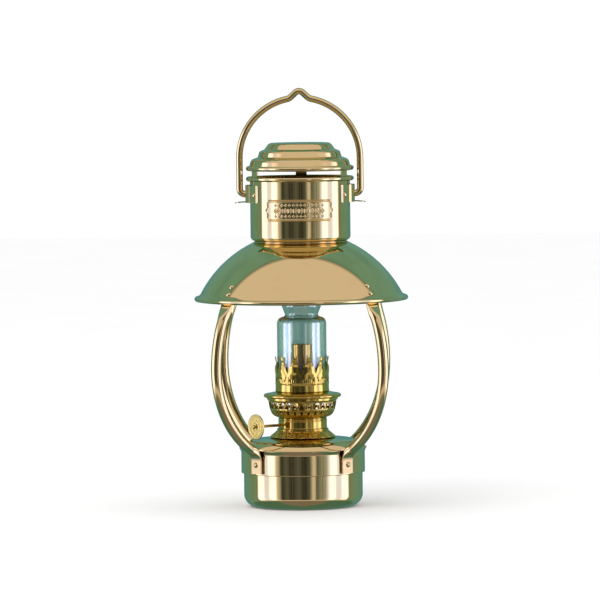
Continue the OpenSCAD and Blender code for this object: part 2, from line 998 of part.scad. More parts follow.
// The flat wick is a strip that closes round inside the tube, with a slot below for the air duct
module wick() {
    slot_top = 102;
    color(COTTON)
        difference() {
            union() {
                ring(wick_in_r, wick_r, wick_low_z, wick_tube_top - 0.5);
                rotate([0, 0, spindle_angle])
                    translate([-strip_w / 2, strip_y, 14])
                        cube([strip_w, strip_t, wick_low_z + 2 - 14]);
            }
            rotate([0, 0, spindle_angle + 90])
                translate([1, -duct_r - 0.2, wick_low_z - 1])
                    cube([10, 2 * duct_r + 0.4, slot_top - wick_low_z + 1]);
        }
}

module glass_chimney() {
    color(GLASS)
        spun([
            [17.6, glass_top_z], [17.4, 177.5, 5], [waist_r, 168.9, 2], [glass_r, 166.6, 5.5],
            [glass_r, glass_low_z]
        ], glass_t)
            bead_2d(17.6 - glass_t / 2, glass_top_z, glass_t + 0.2);
}

vent_cap();
cap_posts();
head_drum();
front_plate();
ear_left();
ear_right();
ear_rivets();
neck_ring();
chimney_guide();
shade();
leg_front_left();
leg_front_right();
leg_rear_right();
leg_rear_left();
shade_rivets();
foot_rivets();
support_band();
spring_clips();
bail_handle();
font_body();
font_dome();
font_collar();
filler_neck();
filler_washer();
filler_cap();
burner_gasket();
burner_base();
burner_body();
spindle_bracket();
air_basket();
gallery_flange();
chimney_crown();
wick_tube();
draught_tube();
wick_spindle();
wick_sprockets();
wick_knob();
knob_rivet();
wick();
glass_chimney();
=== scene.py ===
"""Ship lantern: the visual model and its studio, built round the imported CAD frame."""

import json
import math

import bpy
from mathutils import Matrix, Vector
from mathutils.geometry import delaunay_2d_cdt


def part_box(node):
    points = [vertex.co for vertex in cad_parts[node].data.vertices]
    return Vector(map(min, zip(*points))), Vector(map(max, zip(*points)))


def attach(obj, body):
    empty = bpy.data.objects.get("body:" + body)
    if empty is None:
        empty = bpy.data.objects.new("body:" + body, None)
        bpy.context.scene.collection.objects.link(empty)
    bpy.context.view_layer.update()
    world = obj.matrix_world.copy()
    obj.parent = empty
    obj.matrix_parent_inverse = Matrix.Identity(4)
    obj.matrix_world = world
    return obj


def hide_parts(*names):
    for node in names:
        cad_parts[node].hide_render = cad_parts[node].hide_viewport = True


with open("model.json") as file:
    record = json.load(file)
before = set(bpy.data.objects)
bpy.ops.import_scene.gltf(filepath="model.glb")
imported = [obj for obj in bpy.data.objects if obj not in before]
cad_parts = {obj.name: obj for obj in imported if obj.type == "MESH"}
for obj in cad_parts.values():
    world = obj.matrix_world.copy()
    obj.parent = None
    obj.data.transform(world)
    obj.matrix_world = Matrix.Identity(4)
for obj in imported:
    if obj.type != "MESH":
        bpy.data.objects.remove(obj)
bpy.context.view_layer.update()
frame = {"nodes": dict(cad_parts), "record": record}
MM = 0.001

# Brass as the mirror colour of the metal, in linear light
SHELL_BRASS = (0.84, 0.6, 0.33)
BURNER_BRASS = (0.7, 0.46, 0.125)
TUBE_BRASS = (0.95, 0.6, 0.2)
KNOB_BRASS = (0.9, 0.63, 0.22)
TARNISH_TINT = (0.86, 0.74, 0.6)

# Sizes that more than one piece uses
SHEET = 1 * MM
FONT_BEND = 10.5 * MM
FINE_COLUMNS = 384
SHADE_CENTRE = (-1.7 * MM, 141.5 * MM)
SHADE_RADIUS = 102.9 * MM
FOOT_TOP_Z = 0.047
FOOT_FACE_Z = 0.045

# Angles in degrees above which an edge stays sharp
PLAIN_SHARP = 40.0
TURNED_SHARP = 60.0
FINE_SHARP = 80.0


# ---------------------------------------------------------------- node trees

class Tree:
    """A node tree with short calls for the nodes used here."""

    def __init__(self, owner):
        owner.use_nodes = True
        self.tree = owner.node_tree
        self.tree.nodes.clear()

    def node(self, kind, **settings):
        made = self.tree.nodes.new("ShaderNode" + kind)
        for name, value in settings.items():
            setattr(made, name, value)
        return made

    def feed(self, socket, value):
        if isinstance(value, bpy.types.NodeSocket):
            self.tree.links.new(value, socket)
        elif isinstance(value, tuple) and len(value) == 3 and socket.type == "RGBA":
            socket.default_value = (*value, 1)
        else:
            socket.default_value = value

    def math(self, operation, *values):
        made = self.node("Math", operation=operation)
        for socket, value in zip(made.inputs, values):
            self.feed(socket, value)
        return made.outputs[0]

    def step(self, value, low, high, out_low=0.0, out_high=1.0):
        made = self.node("MapRange", interpolation_type="SMOOTHSTEP")
        for name, given in (
            ("Value", value), ("From Min", low), ("From Max", high),
            ("To Min", out_low), ("To Max", out_high),
        ):
            self.feed(made.inputs[name], given)
        return made.outputs["Result"]

    def blend(self, factor, first, second, mode="MIX"):
        made = self.node("Mix", data_type="RGBA", blend_type=mode)
        self.feed(made.inputs["Factor"], factor)
        self.feed(made.inputs[6], first)
        self.feed(made.inputs[7], second)
        return made.outputs[2]

    def ramp(self, value, stops):
        made = self.node("ValToRGB")
        self.feed(made.inputs[0], value)
        elements = made.color_ramp.elements
        elements.remove(elements[1])
        elements[0].position = 0.0
        elements[0].color = (*stops[0][1], 1)
        for place, colour in stops:
            elements.new(place).color = (*colour, 1)
        return made.outputs[0]

    def noise(self, vector, scale, detail=2.0, rough=0.5, dims="3D"):
        made = self.node("TexNoise", noise_dimensions=dims)
        self.feed(made.inputs["W" if dims == "1D" else "Vector"], vector)
        self.feed(made.inputs["Scale"], scale)
        self.feed(made.inputs["Detail"], detail)
        self.feed(made.inputs["Roughness"], rough)
        return made.outputs["Fac"]

    def combine(self, x, y, z):
        made = self.node("CombineXYZ")
        for socket, value in zip(made.inputs, (x, y, z)):
            self.feed(socket, value)
        return made.outputs[0]

    def split(self, vector):
        made = self.node("SeparateXYZ")
        self.feed(made.inputs[0], vector)
        return made.outputs

    def bump(self, height, strength, distance, normal=None):
        made = self.node("Bump")
        self.feed(made.inputs["Height"], height)
        self.feed(made.inputs["Strength"], strength)
        self.feed(made.inputs["Distance"], distance)
        if normal is not None:
            self.feed(made.inputs["Normal"], normal)
        return made.outputs[0]

    def principled(self, **values):
        made = self.node("BsdfPrincipled")
        for name, value in values.items():
            self.feed(made.inputs[name.replace("_", " ")], value)
        out = self.node("OutputMaterial")
        self.tree.links.new(made.outputs[0], out.inputs["Surface"])
        return made


def brass(name, colour, rough, spun=True, stamped=0.0, dull_foot=0.0):
    """Polished brass: faint tarnish, buffing lines round the axis or along the grain, and small dents."""
    material = bpy.data.materials.new(name)
    t = Tree(material)
    place = t.node("TexCoord").outputs["Object"]
    x, y, z = t.split(place)
    if spun:
        radius = t.math("SQRT", t.math("ADD", t.math("MULTIPLY", x, x), t.math("MULTIPLY", y, y)))
        lines = t.noise(t.combine(radius, z, 0.0), 2600.0, 3.0, 0.7)
    else:
        lines = t.noise(place, 1500.0, 3.0, 0.7)
    clouds = t.noise(place, 38.0, 4.0, 0.6)
    specks = t.noise(place, 900.0, 2.0, 0.5)
    tarnish = t.step(clouds, 0.5, 0.72)
    tarnished = tuple(c * k for c, k in zip(colour, TARNISH_TINT))
    pitted = tuple(c * 0.55 for c in colour)
    tinted = t.blend(t.math("MULTIPLY", tarnish, 0.22), colour, tarnished)
    tinted = t.blend(t.step(specks, 0.7, 0.78, 0.0, 0.35), tinted, pitted)
    buffed = t.math("MULTIPLY", lines, rough * 0.7)
    roughness = t.math("ADD", buffed, t.math("MULTIPLY_ADD", clouds, rough, rough * 0.25))
    if dull_foot:
        roughness = t.math("ADD", roughness, t.step(z, FOOT_TOP_Z, FOOT_FACE_Z, 0.0, dull_foot))
    waves = t.bump(t.noise(place, 26.0, 1.0, 0.4), 0.05, 0.002)
    fine = t.bump(lines, 0.02, 0.0002, waves)
    if stamped:
        fine = t.bump(t.noise(place, 620.0, 3.0, 0.6), stamped, 0.0006, fine)
    t.principled(Base_Color=tinted, Metallic=1.0, Roughness=roughness, Normal=fine)
    return material


def glass_material():
    material = bpy.data.materials.new("chimney_glass")
    t = Tree(material)
    place = t.node("TexCoord").outputs["Object"]
    x, y, z = t.split(place)
    drawn = t.noise(t.combine(x, y, t.math("MULTIPLY", z, 0.12)), 120.0, 2.0, 0.5)
    haze = t.noise(place, 70.0, 3.0, 0.6)
    t.principled(
        Base_Color=(0.93, 0.96, 0.96),
        Roughness=t.math("MULTIPLY_ADD", haze, 0.03, 0.005),
        IOR=1.47,
        Transmission_Weight=1.0,
        Coat_Weight=1.0,
        Coat_IOR=2.2,
        Coat_Roughness=0.04,
        Normal=t.bump(drawn, 0.1, 0.0006),
    )
    return material


def cork_material():
    material = bpy.data.materials.new("cork_seal")
    t = Tree(material)
    place = t.node("TexCoord").outputs["Object"]
    grain = t.node("TexVoronoi")
    t.feed(grain.inputs["Vector"], place)
    t.feed(grain.inputs["Scale"], 900.0)
    shade = t.noise(place, 300.0, 4.0, 0.7)
    colour = t.blend(shade, (0.34, 0.19, 0.085), (0.52, 0.34, 0.18))
    colour = t.blend(t.step(grain.outputs["Distance"], 0.0, 0.25, 0.6, 0.0), colour, (0.12, 0.06, 0.03))
    t.principled(Base_Color=colour, Roughness=0.85, Normal=t.bump(grain.outputs["Distance"], 0.4, 0.0003))
    return material


def cotton_material():
    material = bpy.data.materials.new("woven_cotton")
    t = Tree(material)
    place = t.node("TexCoord").outputs["Object"]
    x, y, z = t.split(place)
    angle = t.math("ARCTAN2", y, x)
    warp = t.math("SINE", t.math("MULTIPLY", angle, 90.0))
    weft = t.math("SINE", t.math("MULTIPLY", z, 2 * math.pi / (0.9 * MM)))
    weave = t.math("MULTIPLY", warp, weft)
    fibre = t.noise(place, 2400.0, 3.0, 0.7)
    # Painted shade: the weave's low dips are painted darker and its raised threads lighter, following the
    # same height that drives the bump.
    colour = t.blend(t.step(weave, -0.8, 0.8), (0.62, 0.57, 0.46), (0.86, 0.83, 0.74))
    colour = t.blend(t.math("MULTIPLY", fibre, 0.4), colour, (0.9, 0.86, 0.76))
    height = t.math("MULTIPLY_ADD", fibre, 0.3, weave)
    t.principled(Base_Color=colour, Roughness=0.95, Sheen_Weight=0.3, Normal=t.bump(height, 0.5, 0.0003))
    return material


def dress(node, material):
    for held in frame["nodes"][node].material_slots:
        held.material = material


SHELL = brass("polished_brass", SHELL_BRASS, 0.05)
WIRE = brass("drawn_brass", SHELL_BRASS, 0.09, spun=False)
TUBING = brass("tubing_brass", SHELL_BRASS, 0.09, spun=False, dull_foot=0.3)
PRESSED = brass("pressed_brass", BURNER_BRASS, 0.12)
PLATE = brass("plate_brass", SHELL_BRASS, 0.07, spun=False)
TUBE = brass("tube_brass", TUBE_BRASS, 0.1)
STAMPED = brass("stamped_brass", KNOB_BRASS, 0.34, spun=False, stamped=0.3)
GLASS = glass_material()
CORK = cork_material()
COTTON = cotton_material()

BY_SLOT = {"brass": SHELL, "burner_brass": PRESSED, "glass": GLASS, "cork": CORK, "wick": COTTON}
for entry in frame["record"]["subparts"]:
    dress(entry["node"], BY_SLOT[entry["material_slot"]])
dress("wick_tube", TUBE)
dress("bail_handle", WIRE)


# ---------------------------------------------------------------- mesh code

def reach(node):
    """Outside radius of a node round the lantern's axis."""
    low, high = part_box(node)
    return max(high[0], -low[0])


def foot(node):
    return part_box(node)[0][2]


def top(node):
    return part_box(node)[1][2]


def ease(x):
    x = min(max(x, 0.0), 1.0)
    return x * x * (3 - 2 * x)


def along(path, spacing):
    """The same path with points about that far apart."""
    made = [path[0]]
    for p, q in zip(path, path[1:]):
        steps = max(1, round(math.dist(p, q) / spacing))
        made += [tuple(a + (b - a) * i / steps for a, b in zip(p, q)) for i in range(1, steps + 1)]
    return made


def arc(centre, radius, start, end, steps):
    """Points on a circle, by angles in degrees."""
    turns = [math.radians(start + (end - start) * i / steps) for i in range(steps + 1)]
    return [(centre[0] + radius * math.cos(a), centre[1] + radius * math.sin(a)) for a in turns]


def millimetres(points):
    return [(x * MM, y * MM) for x, y in points]


def bell(x, width):
    return math.exp(-(x / width) ** 2)


def smoothed(path, passes):
    """The same path with its corners eased and its ends kept."""
    for _ in range(passes):
        path = [path[0]] + [
            tuple((a + 2 * b + c) / 4 for a, b, c in zip(*three)) for three in zip(path, path[1:], path[2:])
        ] + [path[-1]]
    return path


def skin(rings, count, loop):
    """Quads between rings of points, numbered ring after ring. loop joins the last ring to the first."""
    pairs = [(i, (i + 1) % rings) for i in range(rings if loop else rings - 1)]
    return [
        (a * count + j, a * count + (j + 1) % count, b * count + (j + 1) % count, b * count + j)
        for a, b in pairs for j in range(count)
    ]


def turned_out(faces):
    """The same faces seen from their other side."""
    return [tuple(reversed(f)) for f in faces]


def piece(name, node, body, material, points, faces, sharp=PLAIN_SHARP):
    """A mesh that stands for a CAD node and rides on its body."""
    mesh = bpy.data.meshes.new(name)
    mesh.from_pydata(points, [], faces)
    mesh.materials.append(material)
    mesh.polygons.foreach_set("use_smooth", [True] * len(mesh.polygons))
    mesh.set_sharp_from_angle(angle=math.radians(sharp))
    mesh.validate()
    made = bpy.data.objects.new(name, mesh)
    bpy.context.scene.collection.objects.link(made)
    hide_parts(node)
    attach(made, body)
    return made


def lathe(outline, columns, push=None):
    """Points and faces of a closed outline in (radius, height) turned round the axis.
    push(angle, radius, height) moves a point out by that much."""
    points = []
    for i in range(columns):
        a = 2 * math.pi * i / columns
        for r, z in outline:
            out = r + (push(a, r, z) if push else 0.0)
            points.append((out * math.cos(a), out * math.sin(a), z))
    return points, skin(columns, len(outline), True)


def inside(p, loop):
    odd = False
    for (x0, y0), (x1, y1) in zip(loop, loop[1:] + loop[:1]):
        if (y0 > p[1]) != (y1 > p[1]) and p[0] < x0 + (p[1] - y0) * (x1 - x0) / (y1 - y0):
            odd = not odd
    return odd


def filled(outline, holes, spacing):
    """Points and triangles that fill a flat outline round its holes."""
    loops = [along(loop + loop[:1], spacing)[:-1] for loop in [outline, *holes]]
    points, edges = [], []
    for loop in loops:
        first = len(points)
        points += loop
        edges += [(first + i, first + (i + 1) % len(loop)) for i in range(len(loop))]
    rim = list(points)
    low = [min(p[i] for p in outline) for i in (0, 1)]
    high = [max(p[i] for p in outline) for i in (0, 1)]

    def solid(p):
        return inside(p, outline) and not any(inside(p, hole) for hole in holes)

    for row in range(1, int((high[1] - low[1]) / spacing) + 1):
        for column in range(int((high[0] - low[0]) / spacing) + 1):
            p = (low[0] + (column + 0.5 * (row % 2)) * spacing, low[1] + row * spacing)
            if solid(p) and min(math.dist(p, q) for q in rim) > 0.6 * spacing:
                points.append(p)
    verts, _, faces, *_ = delaunay_2d_cdt([Vector(p) for p in points], edges, [], 0, 1e-9)
    verts = [tuple(v) for v in verts]
    kept = [f for f in faces if solid([sum(verts[i][k] for i in f) / 3 for k in (0, 1)])]
    return verts, kept


def pierced(outline, holes, bays, spacing, place, thickness):
    """A sheet made of equal bays round the axis. A bay is drawn in (turn, distance), with turn from -0.5
    to 0.5 scaled by its width. place(turn, distance) gives a point's (radius, height), and thickness is how
    deep the sheet goes inwards."""
    flat, faces = filled(outline, holes, spacing)
    width = max(p[0] for p in outline) - min(p[0] for p in outline)
    points, tris, seen = [], [], {}

    def number(bay, i, back):
        x, y = flat[i]
        key = (round((bay + x / width) % bays, 5) % bays, round(y, 8), back)
        if key not in seen:
            seen[key] = len(points)
            turn = 2 * math.pi * (bay + x / width) / bays
            r, z = place(x / width, y)
            r -= thickness * back
            points.append((r * math.sin(turn), -r * math.cos(turn), z))
        return seen[key]

    for bay in range(bays):
        for f in faces:
            tris.append([number(bay, i, 0) for i in f])
            tris.append([number(bay, i, 1) for i in reversed(f)])
    front = [t for i, t in enumerate(tris) if i % 2 == 0]
    edges = {(t[i], t[(i + 1) % 3]) for t in front for i in range(3)}
    other = {}
    for a, b in zip(front, tris[1::2]):
        other.update(zip(a, reversed(b)))
    for a, b in edges:
        if (b, a) not in edges:
            tris.append([b, a, other[a], other[b]])
    return points, tris


# ---------------------------------------------------------------- shade

def shade():
    """Spun shade, turned finely enough to mirror straight lines, with its rim rolled over a wire."""
    rim, bead = reach("shade") - 0.03 * MM, 2.1 * MM
    crown_end, rim_start, steps = 65, 27.6, 150
    bead_z = foot("shade") + bead
    outside = arc(SHADE_CENTRE, SHADE_RADIUS, crown_end, rim_start, steps)
    roll = arc((rim - bead, bead_z), bead, 120, -175, 30)
    within = arc(SHADE_CENTRE, SHADE_RADIUS - SHEET, rim_start, crown_end, steps)
    points, faces = lathe(outside + roll + within, 360)
    piece("spun_shade", "shade", "lantern_frame", SHELL, points, turned_out(faces), TURNED_SHARP)


# ---------------------------------------------------------------- font

def font_dome():
    """Upper shell of the font, turned finely, with the hole for the filler neck."""
    low, high, edge = foot("font_dome"), top("font_dome"), reach("font_dome")
    bore, seam, columns = 20.1 * MM, low + 4 * MM, FINE_COLUMNS
    drop, overlap, hole_r = 2.8 * MM, edge - 1.05 * MM, 6.7 * MM
    fall = math.atan(drop / (edge - bore))
    centre_r = edge - FONT_BEND
    centre = (centre_r, high - (centre_r - bore) * math.tan(fall) - FONT_BEND / math.cos(fall))
    rows = []
    for depth in (0, SHEET):
        bent = arc(centre, FONT_BEND - depth, 90 - math.degrees(fall), 0, 24)
        rows.append(along([(bore, high - depth), bent[0]], 0.8 * MM)[:-1] + bent)
    outer, inner = rows
    skirt = [(edge, seam), (overlap, seam), (overlap, low), (edge - 2 * MM, low)]
    outline = outer + skirt + inner[::-1]
    points, faces = lathe(outline, columns)
    count = len(outline)
    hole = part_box("filler_neck")
    centre_x, centre_y = (hole[0][0] + hole[1][0]) / 2, (hole[0][1] + hole[1][1]) / 2
    gone = set()
    for i in range(columns):
        for j in range(len(outer) - 1):
            near, far = points[i * count + j], points[(i + 1) % columns * count + j + 1]
            x, y, _ = (sum(c) / 2 for c in zip(near, far))
            if math.hypot(x - centre_x, y - centre_y) < hole_r:
                gone.add((i, j))
    both = gone | {(i, count - 2 - j) for i, j in gone}
    kept = [f for k, f in enumerate(faces) if divmod(k, count) not in both]
    for i, j in gone:
        after = (i + 1) % columns
        for (a, b), (c, d), beside in (
            ((i, j), (after, j), (i, j - 1)), ((after, j), (after, j + 1), (after, j)),
            ((after, j + 1), (i, j + 1), (i, j + 1)), ((i, j + 1), (i, j), ((i - 1) % columns, j)),
        ):
            if beside not in gone:
                start, end = a * count, c * count
                kept.append((start + b, end + d, end + count - 1 - d, start + count - 1 - b))
    piece("spun_dome", "font_dome", "font", SHELL, points, turned_out(kept), TURNED_SHARP)


def font_body():
    """Lower shell of the font, turned finely."""
    low, high, edge = foot("font_body"), top("font_body"), reach("font_body")
    hub, spacing = 0.05 * MM, 2 * MM
    rows = []
    for depth in (0, SHEET):
        bent = arc((edge - FONT_BEND, low + FONT_BEND), FONT_BEND - depth, 0, -90, 24)
        wall = along([(edge - depth, high), bent[0]], spacing)
        rows.append(wall[:-1] + bent + along([bent[-1], (hub, low + depth)], spacing)[1:])
    points, faces = lathe(rows[0] + rows[1][::-1], FINE_COLUMNS)
    piece("spun_font", "font_body", "font", SHELL, points, turned_out(faces), TURNED_SHARP)


def support_band():
    """Band with a flared lip, turned finely."""
    low, high, edge = foot("support_band"), top("support_band"), reach("support_band")
    wall, roll, flare, spacing = 55 * MM, 0.5 * MM, low + 18.7 * MM, 0.6 * MM
    rim = arc((edge - roll, high - roll), roll, 135, -45, 12)
    outside = along([(edge - 0.35 * MM, high - 1 * MM), (wall, flare), (wall, low + 0.25 * MM)], spacing)
    within = along([(wall - SHEET, low), (wall - SHEET, flare), (edge - 1.4 * MM, high - 0.6 * MM)], spacing)
    outline = rim + smoothed(outside, 3) + [(wall - 0.25 * MM, low)] + smoothed(within, 3)
    points, faces = lathe(outline, FINE_COLUMNS)
    faces = turned_out(faces)
    piece("turned_band", "support_band", "lantern_frame", SHELL, points, faces, TURNED_SHARP)


# ---------------------------------------------------------------- legs

def leg_stations():
    """Centre line of a leg in (radius, height), with the section's width, thickness and squareness
    at each point."""
    band = reach("support_band") - 1.6 * MM
    flat_t, flat_w, tube = 2.4 * MM, 13 * MM, 9.5 * MM
    bow, waist = 103.4 * MM, 125 * MM
    upper_r, lower_r = 120 * MM, 83.6 * MM
    heel_r = band + 1.3 * MM
    strap = arc(SHADE_CENTRE, SHADE_RADIUS - 1.35 * MM - flat_t / 2, 36.8, 25.5, 8)
    upper = arc((bow - upper_r, waist), upper_r, 20.5, 0, 26)
    lower = arc((bow - lower_r, waist), lower_r, 0, -61, 46)
    heel = [(heel_r, 45 * MM), (heel_r, foot("leg_front_left"))]
    path = smoothed(along(strap + upper[1:] + lower[1:] + heel, 1 * MM), 8)
    stations = []
    for r, z in path:
        over = ease((z - 168 * MM) / (15 * MM))
        under = ease((54.5 * MM - z) / (7 * MM))
        pressed = max(over, under)
        width, thick = (tube + (flat - tube) * pressed for flat in (flat_w, flat_t))
        stations.append((r, z, width, thick, 2 + 5 * pressed))
    return stations


def leg(name, turn):
    sides = 40
    stations = leg_stations()
    points = []
    spin = Matrix.Rotation(math.radians(turn), 3, "Z")
    for i, (r, z, width, thick, square) in enumerate(stations):
        p, q = stations[max(i - 1, 0)], stations[min(i + 1, len(stations) - 1)]
        run = Vector((q[0] - p[0], 0, q[1] - p[1])).normalized()
        out = Vector((run.z, 0, -run.x))
        for k in range(sides):
            a = 2 * math.pi * k / sides
            c, d = math.cos(a), math.sin(a)
            u = math.copysign(abs(c) ** (2 / square), c) * thick / 2
            v = math.copysign(abs(d) ** (2 / square), d) * width / 2
            points.append(spin @ (Vector((r, v, z)) + out * u))
    faces = turned_out(skin(len(stations), sides, False))
    last = len(points) - sides
    faces += [tuple(range(sides)), tuple(reversed(range(last, last + sides)))]
    piece(name + "_tube", name, "lantern_frame", TUBING, points, faces)


# ---------------------------------------------------------------- burner

def air_basket():
    """Pressed bowl with a row of triangles over a row of small arches."""
    low, high, edge = foot("air_basket"), top("air_basket"), reach("air_basket")
    bays = 28
    profile = along([
        (20.6 * MM, low), (22.8 * MM, low + 0.7 * MM), (25.4 * MM, low + 1.8 * MM),
        (27.4 * MM, low + 3.6 * MM), (28.5 * MM, low + 5.6 * MM), (29 * MM, low + 7 * MM),
        (29.4 * MM, low + 8.7 * MM), (30.4 * MM, low + 15 * MM),
        (edge, low + 16 * MM), (edge, high),
    ], 0.4 * MM)
    profile = smoothed(profile, 10)
    length = sum(math.dist(p, q) for p, q in zip(profile, profile[1:]))
    w = math.pi * 28 / bays

    def place(turn, distance):
        t = distance / length * (len(profile) - 1)
        i = min(int(t), len(profile) - 2)
        r, z = (a + (b - a) * (t - i) for a, b in zip(profile[i], profile[i + 1]))
        d = distance / MM
        petal = abs(math.cos(2 * math.pi * turn)) ** 0.5 - 0.75
        swell = 0.6 * petal * ease((d - 4) / 1.5) * ease((12.4 - d) / 1.2)
        slant = 1 - abs(turn) * 2 - min(max((d - 13.6) / 5.6, 0), 1)
        strut = 0.3 * bell(slant, 0.2) * ease((d - 13) / 1) * ease((20 - d) / 1)
        beads = 0.4 * (bell(d - 12.8, 0.4) + bell(d - 20.2, 0.45)) + 0.3 * bell(d - 1, 0.5)
        return min(r + (swell + strut + beads - 0.4) * MM, edge), z

    arch = arc((0.0, 10.5), 1.2, 0, 180, 9)
    arch += [(-0.95, 8.4), (0.0, 7.5), (0.95, 8.4)]
    holes = [
        millimetres(arch),
        millimetres([(-2.4, 13.7), (2.4, 13.7), (0.25, 19.1), (-0.25, 19.1)]),
        millimetres([(0.3 - w, 14.0), (2.5 - w, 19.2), (0.3 - w, 19.2)]),
        millimetres([(w - 0.3, 14.0), (w - 0.3, 19.2), (w - 2.5, 19.2)]),
    ]
    half = w * MM
    outline = [(-half, 0.0), (half, 0.0), (half, length), (-half, length)]
    points, faces = pierced(outline, holes, bays, 0.55 * MM, place, 0.8 * MM)
    piece("pierced_bowl", "air_basket", "burner", PRESSED, points, faces)


def chimney_crown():
    """Pronged crown: each bay is one prong with a rounded tip between two narrow gaps, and slanted slots
    under the gaps."""
    low, high, edge = foot("chimney_crown"), top("chimney_crown"), reach("chimney_crown")
    bays = 11
    h = (high - low) / MM
    w = math.pi * edge / bays / MM
    right = [
        (w, 0.0), (w, 16.4), (w - 0.7, 17.6), (w - 1.6, 20.4), (w - 2.7, 22.6), (w - 3.9, 24.2),
        (w - 4.5, 25.6), (w - 5.35, 26.6), (w - 5.5, 27.4), (w - 4.85, 28.5), (w - 5.0, 29.6),
        (w - 5.7, 30.5), (0.0, h),
    ]
    outline = millimetres(right)
    outline = outline[:1] + smoothed(along(outline[1:], 0.5 * MM), 2)
    outline = outline + [(-x, y) for x, y in reversed(outline[:-1])]
    slot_points = [(w - 3.9, 8.9), (w - 2.8, 8.9), (w - 0.75, 13.6), (w - 1.6, 13.9)]

    def oval(half_width, half_height, middle):
        turns = [math.radians(a) for a in range(0, 360, 24)]
        return [(half_width * math.sin(a), middle + half_height * math.cos(a)) for a in turns]

    holes = [
        millimetres(slot_points), millimetres([(-x, y) for x, y in reversed(slot_points)]),
        millimetres(oval(0.95, 1.15, 12.4)), millimetres(oval(0.7, 1.9, 21.3)),
    ]

    def place(turn, distance):
        y = distance / MM
        across = abs(turn) * 2
        waist = 0.9 * bell(y - 25.5, 2.2)
        belly = 0.25 * bell(y - 19, 3.5)
        crease = 0.7 * ease((y - 15) / 3) * (0.5 - across)
        beads = 0.45 * bell(y - 7, 0.4) + 0.3 * bell(y - 0.9, 0.6)
        flutes = 0.12 * math.cos(14 * math.pi * turn) * ease((y - 7.8) / 0.8) * ease((12.5 - y) / 2)
        r = edge / MM - 0.8 - waist + belly + crease + beads + flutes
        return min(r * MM, edge), low + distance

    points, faces = pierced(outline, holes, bays, 0.6 * MM, place, 0.6 * MM)
    turned = Matrix.Rotation(math.pi / bays, 3, "Z")
    points = [turned @ Vector(p) for p in points]
    piece("pronged_crown", "chimney_crown", "burner", PRESSED, points, faces)


def burner_skirt():
    """Sloped skirt with a ring of pressed leaves, over its hidden thread."""
    low, high, edge = foot("burner_base"), top("burner_base"), reach("burner_base")
    leaves = 18
    ledge = high - 1.4 * MM
    base = high - 7.1 * MM
    web = base + 2.45 * MM
    neck, bore, lip, thread = 22.9 * MM, 15.5 * MM, 20.4 * MM, 17.4 * MM
    slope = along([(edge, base), (neck, ledge)], 0.22 * MM)
    collar = [(neck, ledge + 0.4 * MM), (neck + 0.1 * MM, high - 0.5 * MM), (neck, high), (lip, high)]
    outline = slope + along(collar, 0.5 * MM)
    outline += [(lip, ledge), (bore, ledge - 0.8 * MM), (bore, low), (thread, low), (thread, web)]
    outline += [(25.2 * MM, web), (edge - 0.8 * MM, base - 0.35 * MM)]

    def leaf(angle, r, z):
        if z < base or z > ledge or r < neck:
            return 0.0
        v = (z - base) / (ledge - base)
        s = (angle * leaves / (2 * math.pi)) % 1 * 2 - 1
        body = 0.9 * math.sqrt(max(0.0, 1 - (v * 1.05) ** 2)) + 0.05
        lobe = ease((body - abs(s)) / 0.16)
        rib = bell(s, 0.09)
        vein = 0.5 + 0.5 * math.cos(2 * math.pi * (3.2 * v - 1.5 * abs(s)))
        rim = ease((0.12 - v) / 0.1) + ease((v - 0.9) / 0.08)
        relief = 0.34 + 0.4 * rib + 0.4 * vein * (1 - rib)
        return (lobe * relief * (1 - min(rim, 1)) + 0.35 * rim - 0.72) * MM

    points, faces = lathe(outline, 720, leaf)
    faces = turned_out(faces)
    piece("leaf_skirt", "burner_base", "burner", PRESSED, points, faces, TURNED_SHARP)


def wick_knob():
    """Stamped disc with a rolled rim, a ring of low bosses and a dished hub, on the end of the spindle."""
    low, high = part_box("knob_rivet")
    centre = Vector([(a + b) / 2 for a, b in zip(low, high)])
    toward = Vector((math.cos(SPINDLE_TURN), math.sin(SPINDLE_TURN), 0))
    start = centre - toward * 3.1 * MM
    radius = 11.2 * MM

    def face(angle, r):
        d = r / MM
        ring = 0.3 * bell(d - 10.3, 0.7) + 0.18 * bell(d - 3.6, 0.6)
        phase = (angle * 8 / (2 * math.pi)) % 1 - 0.5
        across = phase * 2 * math.pi * 6.4 / 8
        boss = 0.2 * math.exp(-((d - 6.4) ** 2 + across ** 2) / 1.6)
        spoke = 0.06 * bell(abs(across) - 2.0, 0.45) * ease((d - 4.2) / 0.6) * ease((9.2 - d) / 0.6)
        return (ring + boss + spoke) * MM

    columns, points, rings = 160, [], []
    steps, eye, hub, hub_z = 60, 0.12 * MM, 1.2 * MM, -2.4 * MM
    rows = [eye + (radius - eye) * i / steps for i in range(steps + 1)]
    for i in range(columns):
        a = 2 * math.pi * i / columns
        ring = [(r, face(a, r) + (1.2 if r < radius else 0.6) * MM) for r in rows]
        ring += [
            (radius * 0.985, 0.0), (radius * 0.93, -0.35 * MM), (radius * 0.9, 0.0),
            (3 * MM, 0.0), (2.7 * MM, hub_z), (hub, hub_z), (hub, 1.1 * MM),
        ]
        rings.append([(r * math.cos(a), r * math.sin(a), h) for r, h in ring])
    count = len(rings[0])
    turn = toward.to_track_quat("Z", "Y").to_matrix()
    for ring in rings:
        points += [start + turn @ Vector(p) for p in ring]
    faces = turned_out(skin(columns, count, True))
    piece("stamped_knob", "wick_knob", "wick_winder", STAMPED, points, faces)


# ---------------------------------------------------------------- ears

